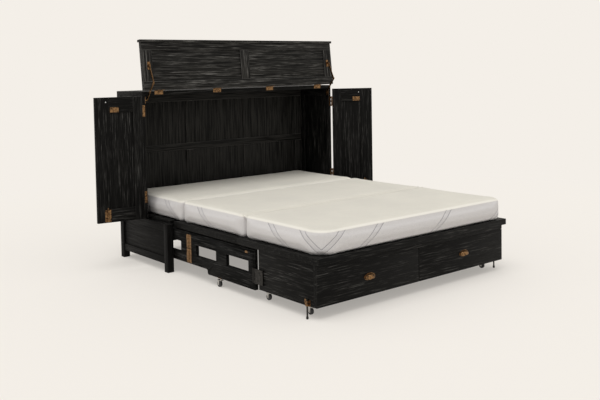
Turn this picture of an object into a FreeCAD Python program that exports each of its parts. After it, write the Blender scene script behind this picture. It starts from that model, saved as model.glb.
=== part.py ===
import FreeCAD, Part
import Sketcher
import math
import os

# A cabinet bed, open for sleeping. X is the width, Y = 0 is the cabinet's back plane, the foot of
# the bed is at -Y, and Z = 0 is the floor. All sizes are millimetres.

SIZES = {
    # cabinet
    "CabinetWidth": 1660.0,
    "CabinetDepth": 642.0,
    "FixedDepth": 362.0,
    "CabinetHeight": 1156.0,
    "BaseHeight": 311.0,
    "LegSize": 45.0,
    "BoardThickness": 22.0,
    "TopThickness": 26.0,
    "BackThickness": 18.0,
    "StileWidth": 58.0,
    "PanelRecess": 7.0,
    "SideRailBottom": 52.0,
    "SideRailHeight": 46.0,
    "SidePanelInset": 4.0,
    # lid and wings
    "LidLength": 333.5,
    "LidLipWidth": 1682.0,
    "LidLipHeight": 34.0,
    "LidLipDepth": 16.0,
    "WingWidth": 316.5,
    "WingBottom": 319.0,
    "WingTop": 1127.0,
    # platform
    "PlatformTop": 328.0,
    "PlatformThickness": 36.0,
    "PlatformWidth": 1560.0,
    "LinkLength": 694.5,
    "FootOverhang": 25.0,
    # gates
    "GateThickness": 22.0,
    "GateTop": 284.0,
    "GateBottomHigh": 86.0,
    "GateBottomLow": 56.0,
    "WindowBottom": 145.0,
    "WindowHeight": 68.0,
    "WindowLength": 222.0,
    "WindowCorner": 3.0,
    # chest of drawers
    "ChestWidth": 1542.0,
    "ChestBottom": 65.0,
    "ChestTop": 291.0,
    "ChestDepth": 493.0,
    "CaseWall": 22.0,
    "CaseFloor": 14.0,
    "TopRailHeight": 30.0,
    "DrawerFrontThickness": 22.0,
    "DrawerWall": 12.0,
    "DrawerHeight": 150.0,
    # mattress
    "MattressWidth": 1524.0,
    "MattressLength": 2032.0,
    "MattressThickness": 137.0,
    "MattressCorner": 62.0,
    # casters and brass
    "WheelRadius": 19.0,
    "WheelWidth": 16.0,
    "ForkThickness": 2.5,
    "CasterTrail": 15.0,
    "KnuckleRadius": 3.2,
    "LeafThickness": 1.6,
    "ArmWidth": 14.0,
    "ArmThickness": 3.0,
    "BoltRodRadius": 4.0,
}

GAP = 0.4                       # running gap between pieces on different bodies
PIN_OFFSET = 0.75               # how far a folding pivot stands off the faces that close together
HEAD_GAP = 24.0                 # from the cabinet's back plane to the mattress
LID_ANGLE = 96.0                # how far the lid stands open
LEFT_WING_ANGLE = 100.0         # how far each wing stands open
RIGHT_WING_ANGLE = 60.0
LID_PIN_OUT = 2.3               # the lid's hinge pins, in front of and above the top board
LID_PIN_RISE = 3.7
LID_START = 2.5                 # from the pin back to the lid's hinge edge
WING_PIN_OUT = 6.0              # the wings' hinge pins, outside and in front of the sides
WING_PIN_FRONT = 2.6
WING_START = 3.6
WING_HINGE_STILE = 65.0
WING_FREE_STILE = 92.0
STEP_START = 1006.0             # where the front gate's lower edge steps down
STEP_LENGTH = 32.0
STAY_LID_REACH = 165.0          # along the lid from its hinge to the stay's bracket
STAY_DROP = 43.0                # from the lid's pin to the stay's pivot, across the lid
STAY_SIDE = (-353.0, 1098.0)    # the stay's pivot on the upper side, as (Y, Z)
STAY_KNUCKLE = (-446.0, 1211.0)
STAY_X = 789.0                  # middle of the stay's two arms
CASTER_HEIGHT = 56.0
PULL_DEPTH = 24.0
PULL_HEIGHT = 38.0
BOLT_REACH = 248.5              # from a wing's hinge edge to its barrel bolt
MATTRESS_GAP = 0.6              # between two mattress sections

doc = FreeCAD.newDocument("CabinetBed")
sheet = doc.addObject("Spreadsheet::Sheet", "Sizes")
for row, (alias, value) in enumerate(SIZES.items(), start=1):
    sheet.set("A%d" % row, alias)
    sheet.set("B%d" % row, str(value))
    sheet.setAlias("B%d" % row, alias)
doc.recompute()

S = SIZES
halfWidth = S["CabinetWidth"] / 2
gateOuter = halfWidth - S["LegSize"] - 9.0          # the gates' outer faces
pivotX = gateOuter + PIN_OFFSET                     # every gate pivot stands in this plane
chestFront = S["CabinetDepth"] + 2 * S["LinkLength"]
chestRear = chestFront - S["ChestDepth"] - 1.0
ridgeY = S["CabinetDepth"] + S["LinkLength"]
gateChestPivot = chestRear - 29.0
gateMidPivot = gateChestPivot - S["LinkLength"]
gateBasePivot = gateMidPivot - S["LinkLength"]
platformUnder = S["PlatformTop"] - S["PlatformThickness"]
topUnder = S["CabinetHeight"] - S["TopThickness"]
lidPin = (-S["FixedDepth"] - LID_PIN_OUT, S["CabinetHeight"] + LID_PIN_RISE)
wingPinX = halfWidth + WING_PIN_OUT
wingPinY = -S["FixedDepth"] - WING_PIN_FRONT
nodes = []


def vector(x, y, z):
    return FreeCAD.Vector(x, y, z)


# ---- small helpers -------------------------------------------------------------------------

def newBody(name):
    body = doc.addObject("PartDesign::Body", name)
    body.Label = name
    return body


def newSketch(body, role, offset=None):
    """A sketch on one of the body's own planes, moved along the plane's normal."""
    sketch = body.newObject("Sketcher::SketchObject", body.Name + "Sketch")
    plane = [feature for feature in body.Origin.OriginFeatures if feature.Role == role][0]
    sketch.AttachmentSupport = [(plane, "")]
    sketch.MapMode = "FlatFace"
    if offset is not None:
        sketch.setExpression("AttachmentOffset.Base.z", offset)
    return sketch


def rectangle(sketch, left, bottom, right, top):
    """A rectangle whose four sides are bound to expressions."""
    first = sketch.GeometryCount
    corners = [vector(0, 0, 0), vector(10, 0, 0), vector(10, 10, 0), vector(0, 10, 0)]
    for index in range(4):
        sketch.addGeometry(Part.LineSegment(corners[index], corners[(index + 1) % 4]), False)
    for index in range(4):
        here = first + index
        following = first + (index + 1) % 4
        sketch.addConstraint(Sketcher.Constraint("Coincident", here, 2, following, 1))
    for index, direction in enumerate(("Horizontal", "Vertical", "Horizontal", "Vertical")):
        sketch.addConstraint(Sketcher.Constraint(direction, first + index))
    limits = (("DistanceX", first, left), ("DistanceY", first, bottom),
              ("DistanceX", first + 2, right), ("DistanceY", first + 2, top))
    for kind, edge, expression in limits:
        number = sketch.addConstraint(Sketcher.Constraint(kind, -1, 1, edge, 1, 10.0))
        sketch.setExpression("Constraints[%d]" % number, expression)


def circle(sketch, x, y, radius):
    edge = sketch.addGeometry(Part.Circle(vector(1, 1, 0), vector(0, 0, 1), 2), False)
    for kind, expression in (("DistanceX", x), ("DistanceY", y)):
        number = sketch.addConstraint(Sketcher.Constraint(kind, -1, 1, edge, 3, 1.0))
        sketch.setExpression("Constraints[%d]" % number, expression)
    number = sketch.addConstraint(Sketcher.Constraint("Radius", edge, 2.0))
    sketch.setExpression("Constraints[%d]" % number, radius)


def pad(body, sketch, length):
    feature = body.newObject("PartDesign::Pad", body.Name + "Pad")
    feature.Profile = sketch
    feature.setExpression("Length", length)
    body.Tip = feature
    return feature


def pocket(body, sketch, length, reverse=False):
    """Cut a pocket and make sure that it took something away."""
    doc.recompute()
    before = body.Shape.Volume
    feature = body.newObject("PartDesign::Pocket", body.Name + "Pocket")
    feature.Profile = sketch
    feature.setExpression("Length", length)
    feature.Reversed = reverse
    body.Tip = feature
    doc.recompute()
    if body.Shape.Volume > before - 1.0:
        raise RuntimeError(body.Label + ": a pocket cuts nothing")
    return feature


def chamfer(body, size, chosen):
    """Break the edges of the last feature that the chosen test accepts."""
    doc.recompute()
    base = body.Tip
    names = ["Edge%d" % (i + 1) for i, edge in enumerate(base.Shape.Edges) if chosen(edge)]
    feature = body.newObject("PartDesign::Chamfer", body.Name + "Chamfer")
    feature.Base = (base, names)
    feature.Size = size
    body.Tip = feature
    doc.recompute()


def place(piece, base, axis=(0, 0, 1), angle=0.0):
    piece.Placement = FreeCAD.Placement(vector(*base), FreeCAD.Rotation(vector(*axis), angle))


def keep(piece):
    nodes.append(piece)
    return piece


def box(name, low, high, expressions=None):
    """A block between two corners."""
    piece = doc.addObject("Part::Box", name)
    piece.Length = high[0] - low[0]
    piece.Width = high[1] - low[1]
    piece.Height = high[2] - low[2]
    piece.Placement.Base = vector(*low)
    for prop, expression in (expressions or {}).items():
        piece.setExpression(prop, expression)
    return piece


def cylinder(name, base, axis, radius, height, expressions=None):
    piece = doc.addObject("Part::Cylinder", name)
    piece.Radius = radius
    piece.Height = height
    turn = FreeCAD.Rotation(vector(0, 0, 1), vector(*axis))
    piece.Placement = FreeCAD.Placement(vector(*base), turn)
    for prop, expression in (expressions or {}).items():
        piece.setExpression(prop, expression)
    return piece


def fuse(name, pieces):
    joined = doc.addObject("Part::MultiFuse", name)
    joined.Shapes = pieces
    joined.Label = name
    return joined


def cut(name, base, tool):
    result = doc.addObject("Part::Cut", name)
    result.Base = base
    result.Tool = tool
    result.Label = name
    return result


def group(name, pieces):
    """Several separate solids that share one node."""
    joined = doc.addObject("Part::Compound", name)
    joined.Links = pieces
    joined.Label = name
    return joined


def turned(point, centre, angle):
    """Turn a (Y, Z) point about a (Y, Z) centre, from Y towards Z."""
    cosine = math.cos(math.radians(angle))
    sine = math.sin(math.radians(angle))
    y = point[0] - centre[0]
    z = point[1] - centre[1]
    return (centre[0] + y * cosine - z * sine, centre[1] + y * sine + z * cosine)


# ---- framed boards -------------------------------------------------------------------------

def baseSide(name, rightHand):
    """Two legs with rails and a recessed panel between them."""
    body = newBody(name)
    legs = newSketch(body, "YZ_Plane", "-Sizes.CabinetWidth / 2")
    rectangle(legs, "-Sizes.CabinetDepth", "0", "-Sizes.CabinetDepth + Sizes.LegSize",
              "Sizes.BaseHeight")
    rectangle(legs, "-Sizes.LegSize", "0", "0", "Sizes.BaseHeight")
    pad(body, legs, "Sizes.LegSize")
    panel = newSketch(body, "YZ_Plane", "-Sizes.CabinetWidth / 2 + Sizes.SidePanelInset")
    rectangle(panel, "-Sizes.CabinetDepth + Sizes.LegSize / 2", "Sizes.SideRailBottom",
              "-Sizes.LegSize / 2", "Sizes.BaseHeight")
    pad(body, panel, "Sizes.LegSize - 3 * Sizes.SidePanelInset")
    recess = newSketch(body, "YZ_Plane", "-Sizes.CabinetWidth / 2 + Sizes.SidePanelInset")
    rectangle(recess, "-Sizes.CabinetDepth + Sizes.LegSize",
              "Sizes.SideRailBottom + Sizes.SideRailHeight",
              "-Sizes.LegSize", "Sizes.BaseHeight - Sizes.SideRailHeight")
    pocket(body, recess, "Sizes.PanelRecess", True)
    # The socket in the front leg's top for the wing's barrel bolt.
    boltX = -halfWidth + S["BoardThickness"] + 7.5
    boltY = wingPinY - WING_START - BOLT_REACH
    if rightHand:
        boltY = -S["CabinetDepth"] - boltY
    socket = newSketch(body, "XY_Plane", "Sizes.BaseHeight")
    circle(socket, "%.3f" % boltX, "%.3f" % boltY, "Sizes.BoltRodRadius + 1")
    pocket(body, socket, "18")
    if rightHand:
        place(body, (0, -S["CabinetDepth"], 0), angle=180.0)
    return keep(body)


def upperSide(name, rightHand):
    """The fixed rear half of a side, framed and panelled on both faces."""
    body = newBody(name)
    board = newSketch(body, "YZ_Plane", "-Sizes.CabinetWidth / 2")
    rectangle(board, "-Sizes.FixedDepth", "Sizes.BaseHeight", "0",
              "Sizes.CabinetHeight - Sizes.TopThickness")
    pad(body, board, "Sizes.BoardThickness")
    for offset, reverse in (("-Sizes.CabinetWidth / 2", True),
                            ("-Sizes.CabinetWidth / 2 + Sizes.BoardThickness", False)):
        recess = newSketch(body, "YZ_Plane", offset)
        rectangle(recess, "-Sizes.FixedDepth + Sizes.StileWidth",
                  "Sizes.BaseHeight + Sizes.StileWidth",
                  "-Sizes.StileWidth - Sizes.BackThickness",
                  "Sizes.CabinetHeight - Sizes.TopThickness - Sizes.StileWidth")
        pocket(body, recess, "Sizes.PanelRecess", reverse)
    if rightHand:
        place(body, (0, -S["FixedDepth"], 0), angle=180.0)
    return keep(body)


def backBoard():
    """The back, with three columns and two rows of recessed panels."""
    body = newBody("back_board")
    board = newSketch(body, "XZ_Plane")
    inner = "(Sizes.CabinetWidth / 2 - Sizes.BoardThickness)"
    rectangle(board, "-" + inner, "Sizes.BaseHeight", inner,
              "Sizes.CabinetHeight - Sizes.TopThickness")
    pad(body, board, "Sizes.BackThickness")
    lower = newSketch(body, "XZ_Plane")
    legs = "(Sizes.CabinetWidth / 2 - Sizes.LegSize)"
    rectangle(lower, "-" + legs, "Sizes.SideRailBottom", legs, "Sizes.BaseHeight")
    pad(body, lower, "Sizes.BackThickness")
    recess = newSketch(body, "XZ_Plane", "Sizes.BackThickness")
    for column in (-1, 0, 1):
        for bottom in (398, 758):
            middle = "%d * 516" % column
            rectangle(recess, middle + " - 229", "%d" % bottom, middle + " + 229",
                      "%d + 310" % bottom)
    pocket(body, recess, "Sizes.PanelRecess", False)
    return keep(body)


def topBoard():
    body = newBody("top_board")
    board = newSketch(body, "XY_Plane", "Sizes.CabinetHeight - Sizes.TopThickness")
    rectangle(board, "-Sizes.CabinetWidth / 2", "-Sizes.FixedDepth", "Sizes.CabinetWidth / 2", "0")
    pad(body, board, "Sizes.TopThickness")
    high = S["CabinetHeight"] - 0.1
    chamfer(body, 2.0, lambda edge: edge.BoundBox.ZMin > high and edge.BoundBox.YMax > -1.0)
    return keep(body)


def lid():
    """The lid as it lies shut behind its hinge pin, with two recessed panels underneath."""
    body = newBody("lid_board")
    under = "-Sizes.TopThickness - %.1f" % LID_PIN_RISE
    free = "-%.1f - Sizes.LidLength" % LID_START
    board = newSketch(body, "XY_Plane", under)
    rectangle(board, "-Sizes.CabinetWidth / 2", free, "Sizes.CabinetWidth / 2",
              "-%.1f" % LID_START)
    pad(body, board, "Sizes.TopThickness")
    lip = newSketch(body, "XY_Plane", "-Sizes.LidLipHeight - %.1f" % LID_PIN_RISE)
    rectangle(lip, "-Sizes.LidLipWidth / 2", free + " - 2", "Sizes.LidLipWidth / 2",
              free + " - 2 + Sizes.LidLipDepth")
    pad(body, lip, "Sizes.LidLipHeight")
    recess = newSketch(body, "XY_Plane", under)
    for side in ("-1", "1"):
        middle = side + " * (Sizes.CabinetWidth / 4 - 20)"
        rectangle(recess, middle + " - 358", free + " + 66", middle + " + 358",
                  "-%.1f - Sizes.StileWidth" % LID_START)
    pocket(body, recess, "Sizes.PanelRecess", True)
    place(body, (0,) + lidPin, (1, 0, 0), -LID_ANGLE)
    return keep(body)


def wing(name, side, openAngle):
    """The front half of a side, hung on a pin at the body's own origin."""
    body = newBody(name)
    outer = "%.1f" % WING_PIN_OUT
    if side > 0:
        outer = "-%.1f - Sizes.BoardThickness" % WING_PIN_OUT
    edge = "-%.1f" % WING_START
    board = newSketch(body, "YZ_Plane", outer)
    rectangle(board, edge + " - Sizes.WingWidth", "Sizes.WingBottom", edge, "Sizes.WingTop")
    pad(body, board, "Sizes.BoardThickness")
    for face in (0, 1):
        recess = newSketch(body, "YZ_Plane", outer + (" + Sizes.BoardThickness" if face else ""))
        rectangle(recess, edge + " - Sizes.WingWidth + %.1f" % WING_FREE_STILE,
                  "Sizes.WingBottom + 87", edge + " - %.1f" % WING_HINGE_STILE,
                  "Sizes.WingTop - 99")
        pocket(body, recess, "Sizes.PanelRecess", face == 0)
    place(body, (side * wingPinX, wingPinY, 0), angle=side * openAngle)
    return keep(body)


# ---- platform ------------------------------------------------------------------------------

def platform(name, width, near, far):
    """A board of the sleeping platform."""
    body = newBody(name)
    deck = newSketch(body, "XY_Plane", "Sizes.PlatformTop - Sizes.PlatformThickness")
    rectangle(deck, "-%s / 2" % width, "-(%s)" % far, "%s / 2" % width, "-(%s)" % near)
    pad(body, deck, "Sizes.PlatformThickness")
    return keep(body)


# ---- gates ---------------------------------------------------------------------------------

def gateOutline(rearEnd, frontEnd, stepped):
    """The gate's outline as points and curves in Y and Z, with the front gate's stepped edge."""
    low = S["GateBottomLow"] if stepped else S["GateBottomHigh"]
    high = S["GateBottomHigh"]
    top = S["GateTop"]
    edges = []

    def line(y1, z1, y2, z2):
        edges.append(Part.LineSegment(vector(0, y1, z1), vector(0, y2, z2)).toShape())

    line(rearEnd, top, rearEnd, high)
    if stepped:
        start = -STEP_START
        end = -STEP_START - STEP_LENGTH
        middle = ((start + end) / 2, (high + low) / 2)
        line(rearEnd, high, start, high)
        first = Part.Arc(vector(0, start, high), vector(0, start - 12.5, high - 4.0),
                         vector(0, middle[0], middle[1])).toShape()
        second = Part.Arc(vector(0, middle[0], middle[1]), vector(0, end + 12.5, low + 4.0),
                          vector(0, end, low)).toShape()
        edges.extend([first, second])
        line(end, low, frontEnd, low)
    else:
        line(rearEnd, high, frontEnd, high)
    line(frontEnd, low, frontEnd, top)
    line(frontEnd, top, rearEnd, top)
    return Part.Wire(edges)


def gate(name, side, rearEnd, frontEnd, windows, stepped, pivots):
    """A flat gate with two windows right through it, coved at each end for the hinge barrels."""
    plate = Part.Face(gateOutline(rearEnd, frontEnd, stepped))
    plate = plate.extrude(vector(S["GateThickness"], 0, 0))
    profile = doc.addObject("Part::Feature", name + "Plate")
    profile.Shape = plate
    start = -gateOuter if side < 0 else gateOuter - S["GateThickness"]
    profile.Placement.Base = vector(start, 0, 0)
    holes = []
    for number, windowEnd in enumerate(windows):
        hole = box("%sWindow%d" % (name, number), (start - 5, windowEnd - S["WindowLength"], 0),
                   (start + S["GateThickness"] + 5, windowEnd, 1),
                   {"Width": "Sizes.WindowLength", "Height": "Sizes.WindowHeight",
                    "Placement.Base.z": "Sizes.WindowBottom"})
        holes.append(hole)
    for number, pivot in enumerate(pivots):
        holes.append(cylinder("%sCove%d" % (name, number), (side * pivotX, -pivot, 0), (0, 0, 1),
                              S["KnuckleRadius"] + 0.5, 400.0,
                              {"Radius": "Sizes.KnuckleRadius + 0.5"}))
    return keep(cut(name, profile, fuse(name + "Windows", holes)))


# ---- hinges --------------------------------------------------------------------------------

def knuckles(name, pin, axis, start, length, count, first):
    """Every second knuckle of a hinge barrel, from the start along the axis."""
    made = []
    pitch = length / count
    for index in range(first, count, 2):
        along = start + index * pitch + GAP / 2
        base = [pin[i] + axis[i] * along for i in range(3)]
        made.append(cylinder("%sKnuckle%d" % (name, index), base, axis, S["KnuckleRadius"],
                             pitch - GAP, {"Radius": "Sizes.KnuckleRadius"}))
    return made


def tabs(name, low, high, along, start, length, count, first):
    """Bridges from a leaf to each knuckle of its own, between two corners."""
    made = []
    pitch = length / count
    for index in range(first, count, 2):
        near = list(low)
        far = list(high)
        near[along] = start + index * pitch + GAP / 2
        far[along] = start + (index + 1) * pitch - GAP / 2
        made.append(span("%sTab%d" % (name, index), near, far))
    return made


def span(name, first, second):
    """A block between two opposite corners given in any order."""
    low = [min(pair) for pair in zip(first, second)]
    high = [max(pair) for pair in zip(first, second)]
    return box(name, low, high)


# ---- cabinet -------------------------------------------------------------------------------

baseSide("base_side_left", False)
baseSide("base_side_right", True)
upperSide("upper_side_left", False)
upperSide("upper_side_right", True)
backBoard()
topBoard()
lid()
wing("wing_left", -1, LEFT_WING_ANGLE)
wing("wing_right", 1, RIGHT_WING_ANGLE)
platform("head_platform", "(Sizes.CabinetWidth - 2 * Sizes.LegSize)",
         "Sizes.BackThickness", "Sizes.CabinetDepth - Sizes.PlatformThickness - 3")
platform("platform_middle", "Sizes.PlatformWidth", "Sizes.CabinetDepth + 0.5",
         "Sizes.CabinetDepth + Sizes.LinkLength - 0.5")
platform("platform_foot", "Sizes.PlatformWidth",
         "Sizes.CabinetDepth + Sizes.LinkLength + 0.5",
         "Sizes.CabinetDepth + 2 * Sizes.LinkLength + Sizes.FootOverhang")

# ---- the lid's four butt hinges ------------------------------------------------------------

LID_HINGES = (-705.0, -240.0, 225.0, 690.0)
LID_HINGE_LENGTH = 64.0
fixedLeaves = []
movingLeaves = []
for number, middle in enumerate(LID_HINGES):
    start = middle - LID_HINGE_LENGTH / 2
    end = middle + LID_HINGE_LENGTH / 2
    face = -S["FixedDepth"]
    top = S["CabinetHeight"]
    name = "TopHinge%d" % number
    half = knuckles(name, (start, lidPin[0], lidPin[1]), (1, 0, 0), 0, LID_HINGE_LENGTH, 5, 0)
    half += tabs(name, (0, face - 1.6, top - 0.5), (0, face, top + 2.0), 0, start,
                 LID_HINGE_LENGTH, 5, 0)
    half.append(span(name + "Leaf", (start, face - 1.6, top - 22), (end, face, top)))
    fixedLeaves.append(fuse(name + "Half", half))
    name = "LidHinge%d" % number
    half = knuckles(name, (start, 0, 0), (1, 0, 0), 0, LID_HINGE_LENGTH, 5, 1)
    half += tabs(name, (0, -LID_START, -4.2), (0, -LID_START + 1.6, -1.8), 0, start,
                 LID_HINGE_LENGTH, 5, 1)
    half.append(span(name + "Leaf", (start, -LID_START, -26), (end, -LID_START + 1.6, -LID_PIN_RISE)))
    movingLeaves.append(fuse(name + "Half", half))
keep(group("top_hinge_leaves", fixedLeaves))
lidLeaves = keep(group("lid_hinge_leaves", movingLeaves))
place(lidLeaves, (0,) + lidPin, (1, 0, 0), -LID_ANGLE)

# ---- the wings' hinges, strike plates and barrel bolts ---------------------------------------

WING_HINGES = (990.0, 420.0)
WING_HINGE_LENGTH = 76.0
sideLeaves = []
for side in (-1, 1):
    tag = "Left" if side < 0 else "Right"
    pinX = side * wingPinX
    fittings = []
    for number, z in enumerate(WING_HINGES):
        name = "Side%s%d" % (tag, number)
        front = -S["FixedDepth"]
        half = knuckles(name, (pinX, wingPinY, z), (0, 0, 1), 0, WING_HINGE_LENGTH, 5, 0)
        half += tabs(name, (pinX - side * 7, front - 1.6, 0), (pinX - side * 0.5, front, 0), 2, z,
                     WING_HINGE_LENGTH, 5, 0)
        half.append(span(name + "Leaf", (pinX - side * 24, front - 1.6, z),
                         (pinX - side * 6.5, front, z + WING_HINGE_LENGTH)))
        sideLeaves.append(fuse(name + "Half", half))
        name = "Wing%s%d" % (tag, number)
        half = knuckles(name, (0, 0, z), (0, 0, 1), 0, WING_HINGE_LENGTH, 5, 1)
        half += tabs(name, (-side * 7, -WING_START, 0), (-side * 0.5, -1.8, 0), 2, z,
                     WING_HINGE_LENGTH, 5, 1)
        half.append(span(name + "Leaf", (-side * 24, -WING_START, z),
                         (-side * 6.5, -WING_START + 1.6, z + WING_HINGE_LENGTH)))
        fittings.append(fuse(name + "Half", half))
    face = -side * (WING_PIN_OUT + S["BoardThickness"])
    start = -WING_START
    strike = span("Strike" + tag, (face, start - 217.0, 1030.0),
                  (face - side * 1.6, start - 161.0, 1062.0))
    boltPlate = span("BoltPlate" + tag, (face, start - 268.0, 323.0),
                     (face - side * 1.6, start - 229.0, 402.0))
    rodX = face - side * (1.6 + S["BoltRodRadius"] + 1.9)
    boltY = start - BOLT_REACH
    guides = []
    for number, z in enumerate((330.0, 384.0)):
        block = span("BoltGuide%s%d" % (tag, number), (face - side * 1.6, boltY - 8.5, z),
                     (rodX - side * 6.5, boltY + 8.5, z + 14.0))
        bore = cylinder("BoltBore%s%d" % (tag, number), (rodX, boltY, z - 1), (0, 0, 1),
                        S["BoltRodRadius"] + GAP, 16.0)
        guides.append(cut("BoltStaple%s%d" % (tag, number), block, bore))
    fittings.append(strike)
    fittings.append(fuse("BoltCase" + tag, [boltPlate] + guides))
    angle = side * (LEFT_WING_ANGLE if side < 0 else RIGHT_WING_ANGLE)
    wingBrass = keep(group("wing_%s_brass" % tag.lower(), fittings))
    place(wingBrass, (pinX, wingPinY, 0), angle=angle)
    rod = cylinder("BoltRod" + tag, (rodX, boltY, 324.0), (0, 0, 1), S["BoltRodRadius"], 92.0,
                   {"Radius": "Sizes.BoltRodRadius"})
    knob = cylinder("BoltKnob" + tag, (rodX, boltY, 374.0), (-side, 0, 0), 3.0, 13.0)
    bolt = keep(fuse("wing_%s_bolt" % tag.lower(), [rod, knob]))
    place(bolt, (pinX, wingPinY, 0), angle=angle)
keep(group("side_hinge_leaves", sideLeaves))

# ---- the lid's folding stays -----------------------------------------------------------------

stayLidShut = (lidPin[0] - STAY_LID_REACH, lidPin[1] - STAY_DROP)
stayLid = turned(stayLidShut, lidPin, -LID_ANGLE)


def stayArm(name, start, end, x):
    """A flat arm with round ends between two pivots in Y and Z."""
    length = math.dist(start, end)
    half = S["ArmWidth"] / 2
    bar = box(name + "Bar", (0, 0, -half), (S["ArmThickness"], length, half),
              {"Length": "Sizes.ArmThickness", "Height": "Sizes.ArmWidth",
               "Placement.Base.z": "-Sizes.ArmWidth / 2"})
    ends = [cylinder(name + "End%d" % n, (0, y, 0), (1, 0, 0), half, S["ArmThickness"],
                     {"Radius": "Sizes.ArmWidth / 2", "Height": "Sizes.ArmThickness"})
            for n, y in enumerate((0, length))]
    arm = fuse(name, [bar] + ends)
    angle = math.degrees(math.atan2(end[1] - start[1], end[0] - start[0]))
    place(arm, (x, start[0], start[1]), (1, 0, 0), angle)
    return arm


upperArms = []
lowerArms = []
lidBrackets = []
sideBrackets = []
for side in (-1, 1):
    tag = "Left" if side < 0 else "Right"
    upperX = side * (STAY_X - 2.0) - S["ArmThickness"] / 2
    lowerX = side * (STAY_X + 2.0) - S["ArmThickness"] / 2
    upperArms.append(stayArm("StayUpper" + tag, stayLid, STAY_KNUCKLE, upperX))
    lowerArms.append(stayArm("StayLower" + tag, STAY_SIDE, STAY_KNUCKLE, lowerX))
    # On the lid: a foot against the board and an ear beside the arm.
    ear = upperX - 3.4 if side > 0 else upperX + S["ArmThickness"] + 0.4
    y, z = stayLidShut
    y -= lidPin[0]
    z -= lidPin[1]
    lidFace = -LID_PIN_RISE - S["TopThickness"]
    foot = box("LidBracketFoot" + tag, (ear - 9, y - 26, lidFace - 1.8), (ear + 12, y + 26, lidFace))
    plate = box("LidBracketEar" + tag, (ear, y - 9, z - 9), (ear + 3, y + 9, lidFace))
    lidBrackets.append(fuse("LidBracket" + tag, [foot, plate]))
    # On the side: a plate with a short post out to the arm.
    y, z = STAY_SIDE
    wall = side * (halfWidth - S["BoardThickness"])
    sidePlate = box("SideBracketPlate" + tag, (min(wall, wall - side * 3), y - 8, z - 24),
                    (max(wall, wall - side * 3), y + 17, z + 24))
    post = cylinder("SideBracketPost" + tag, (wall, y, z), (-side, 0, 0), 5.0,
                    abs(wall - (lowerX + (0 if side < 0 else S["ArmThickness"]))) - GAP)
    sideBrackets.append(fuse("SideBracket" + tag, [sidePlate, post]))
keep(group("stay_upper_arms", upperArms))
keep(group("stay_lower_arms", lowerArms))
lidBracketGroup = keep(group("stay_lid_brackets", lidBrackets))
place(lidBracketGroup, (0,) + lidPin, (1, 0, 0), -LID_ANGLE)
keep(group("stay_side_brackets", sideBrackets))

# ---- gates, their hinges and casters ---------------------------------------------------------

GATE_HINGES = (90.0, 181.0)
GATE_HINGE_LENGTH = 87.0
GATE_LEAF = 27.0
BASE_PIVOT_Z = 190.0
CHEST_PIVOT_Z = 96.0
END_PIVOT_LENGTH = 84.0
GATE_CASTER_Y = -1151.0
GATE_WINDOWS_FRONT = (-895.0, -1224.0)
GATE_WINDOWS_REAR = (-168.0, -497.0)


def caster(name, x, y, height, trailSign):
    """A swivel fork and its wheel, trailing along Y, below a plate at the given height."""
    trail = trailSign * S["CasterTrail"]
    half = S["WheelWidth"] / 2 + 0.6
    outer = half + S["ForkThickness"]
    crown = 2 * S["WheelRadius"] + 3.0
    top = box(name + "Crown", (x - outer, y - 12 + min(0, trail), crown),
              (x + outer, y + 12 + max(0, trail), crown + 3))
    stem = cylinder(name + "Stem", (x, y, crown + 2), (0, 0, 1), 6.5, height - crown - 2 - GAP)
    parts = [top, stem]
    for number, sign in enumerate((-1, 1)):
        near = x + sign * half
        far = x + sign * outer
        middle = y + trail
        cheek = box("%sCheek%d" % (name, number),
                    (min(near, far), middle - 8, S["WheelRadius"] - 6), (max(near, far), middle + 8, crown + 1),
                    {"Length": "Sizes.ForkThickness"})
        parts.append(cheek)
    axle = cylinder(name + "Axle", (x - outer - 1.5, y + trail, S["WheelRadius"]), (1, 0, 0), 3.0,
                    2 * outer + 3)
    parts.append(axle)
    keep(fuse(name + "_fork", parts))
    disc = cylinder(name + "Tyre", (x - S["WheelWidth"] / 2, y + trail, S["WheelRadius"]), (1, 0, 0),
                    S["WheelRadius"], S["WheelWidth"],
                    {"Radius": "Sizes.WheelRadius", "Height": "Sizes.WheelWidth"})
    bore = cylinder(name + "Bore", (x - S["WheelWidth"], y + trail, S["WheelRadius"]), (1, 0, 0),
                    3.06, 2 * S["WheelWidth"])
    round_ = doc.addObject("Part::Chamfer", name + "Rounded")
    doc.recompute()
    round_.Base = disc
    rims = [i + 1 for i, edge in enumerate(disc.Shape.Edges) if edge.Closed]
    round_.Edges = [(i, 2.5, 2.5) for i in rims]
    keep(cut(name + "_wheel", round_, bore))


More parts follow.
